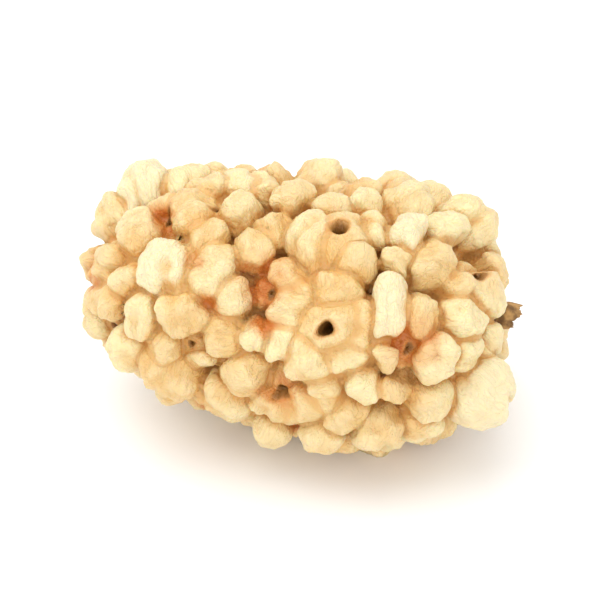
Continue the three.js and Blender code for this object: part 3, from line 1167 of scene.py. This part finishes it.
def flesh_layers(nodes):
    """The colours that lie over the lobes' own, from the first to the last, with their shares: some
    are the flesh's own marks, and some are painted highlight on the crests and the palest lobes,
    and painted shade in the hollows, creases and holes.
    """
    patches = nodes.noise(PATCHES, 3)
    stain = nodes.mark("stain")
    pit = nodes.mark("pit")
    height = nodes.mark("height")
    wide = nodes.mark("wide_hollow")
    sharp = nodes.remap(nodes.mark("fine_hollow"), 0.0, 0.08)
    # Painted shade: the share of the hollow colour grows with the depth of the wide hollows
    hollow_shade = nodes.remap(nodes.maths("ADD", wide, nodes.times(patches, 0.3)), 0.05, 0.32)
    # Painted shade: strongest in the sharp hollows that lie low, near the core
    deep = nodes.times(sharp, nodes.remap(height, 1.45, 0.6))
    return (
        ("golden", nodes.remap(patches, 0.5, 0.66, 0.0, 0.5)),
        # Partly painted highlight: the palest lobes, where the light fell brightest, are painted
        # whiter
        ("pale_and_highlit", nodes.times(nodes.mark("pale_and_highlit"), 0.55)),
        # Painted highlight: the crest colour on the outward-bulging tops of the lobes
        ("crest highlight", nodes.remap(wide, -0.08, -0.2, 0.0, 0.3)),
        ("faint stain", nodes.times(stain, 0.6)),
        # Painted shade in the hollows
        ("hollow_shade", nodes.times(hollow_shade, nodes.remap(stain, 0, 1, 0.8, 1))),
        # Painted shade along the creases between lobes
        ("crease", nodes.remap(nodes.mark("crease"), 0.6, 1.0, 0.0, 0.6)),
        ("deep crease shade", nodes.times(deep, nodes.remap(stain, 0, 1, 0.6, 1))),
        ("stain", nodes.times(stain, nodes.remap(wide, -0.18, 0.06))),
        # Partly painted shade: browner round each hole and darkest at its bottom, partly the dried
        # style's own brown
        ("rim", nodes.remap(pit, 0.4, 0.9, 0.0, 0.6)),
        ("hole", nodes.times(nodes.remap(pit, 0.8, 1.0), nodes.remap(height, 1.75, 1.2))),
        ("freckle", nodes.remap(nodes.noise(SPECKS, 4), 0.64, 0.74, 0.0, 0.25)),
    )


def flesh_colour(nodes):
    colours = {name: linear(colour) for name, colour in FLESH_COLOURS.items()}
    tone = nodes.maths("ADD", nodes.times(nodes.mark("tone"), 0.6), nodes.noise(PATCHES, 3))
    colour = nodes.mixed(nodes.remap(tone, 0.4, 1.0), colours["cream"], colours["tan"])
    for name, share in flesh_layers(nodes):
        colour = nodes.mixed(share, colour, colours[name])
    return colour


def flesh_bump(nodes):
    """Ridges up each lobe, folds that run on from lobe to lobe, and grain."""
    lines = nodes.noise(1.7, 3, 0.5, nodes.mark("lobe_place", "Vector"))
    ridges = nodes.remap(nodes.off_middle(lines), 0.0, 0.1)
    ridges = nodes.times(ridges, nodes.remap(nodes.mark("crease"), 0.92, 0.65))
    folds = nodes.remap(nodes.off_middle(nodes.noise(SPECKS, 3)), 0.0, 0.12, 0.0, 0.6)
    grain = nodes.times(nodes.noise(GRAIN, 4), 0.6)
    total = nodes.maths("ADD", nodes.maths("ADD", ridges, folds), grain)
    inputs = {"Strength": 0.6, "Distance": 0.06 * MM, "Height": total}
    return nodes.feed_all(nodes.nodes.new("ShaderNodeBump"), inputs).outputs["Normal"]


def flesh_material():
    nodes = Nodes("dried_flesh")
    nodes.feed_all(nodes.shader, {
        "Base Color": flesh_colour(nodes),
        "Subsurface Weight": 0.4,
        "Subsurface Radius": (1.0, 0.5, 0.2),
        "Subsurface Scale": 0.35 * MM,
        "Roughness": nodes.remap(nodes.noise(SPECKS, 4), 0.3, 0.7, 0.38, 0.56),
        "Normal": flesh_bump(nodes),
    })
    return nodes.material


def stalk_material():
    nodes = Nodes("dry_stalk")
    brown, straw = linear(STALK_COLOURS["brown"]), linear(STALK_COLOURS["straw"])
    colour = nodes.mixed(nodes.remap(nodes.noise(FIBRES, 4), 0.3, 0.7), brown, straw)
    nodes.feed_all(nodes.shader, {"Base Color": colour, "Roughness": 0.75})
    return nodes.material


def floor_material():
    nodes = Nodes("pale_floor")
    grey = (FLOOR_GREY, FLOOR_GREY, FLOOR_GREY, 1)
    nodes.feed_all(nodes.shader, {"Base Color": grey, "Roughness": 0.9})
    return nodes.material


# Floor, light and camera

def make_floor():
    mesh = bmesh.new()
    bmesh.ops.create_grid(mesh, x_segments=2, y_segments=2, size=FLOOR_SIZE)
    data = bpy.data.meshes.new("floor")
    mesh.to_mesh(data)
    mesh.free()
    floor = add_object("floor", data)
    data.materials.append(floor_material())


def area_light(name, place, size, power):
    light = bpy.data.lights.new(name, "AREA")
    light.shape = "SQUARE"
    light.size = size
    light.energy = power
    lamp = add_object(name, light)
    lamp.location = place
    direction = Vector(LIGHT_TARGET) - Vector(place)
    lamp.rotation_euler = direction.to_track_quat("-Z", "Y").to_euler()


def make_light():
    world = bpy.data.worlds.new("studio")
    world.use_nodes = True
    inputs = world.node_tree.nodes["Background"].inputs
    inputs["Color"].default_value = (1, 1, 1, 1)
    inputs["Strength"].default_value = 1.0
    bpy.context.scene.world = world
    for light in LIGHTS:
        area_light(**light)
    bpy.context.scene.view_settings.view_transform = "Standard"


def make_camera():
    data = bpy.data.cameras.new("camera")
    data.lens = CAMERA_LENS
    data.sensor_width = SENSOR_WIDTH
    data.clip_start = 0.005
    data.clip_end = 5
    camera = add_object("camera", data)
    a, e = math.radians(CAMERA_AZIMUTH), math.radians(CAMERA_ELEVATION)
    back = Vector((math.sin(a) * math.cos(e), -math.cos(a) * math.cos(e), math.sin(e)))
    low, high = cad_box
    middle = (low + high) / 2
    camera.location = middle + back * (FRAME_WIDTH * CAMERA_LENS / SENSOR_WIDTH)
    camera.rotation_euler = (-back).to_track_quat("-Z", "Y").to_euler()
    bpy.context.scene.camera = camera


pits, lobes = grow()
flesh = make_flesh(pits, lobes)
flesh.data.materials.append(flesh_material())
stalk = make_stalk()
stalk.data.materials.append(stalk_material())
make_floor()
make_light()
make_camera()
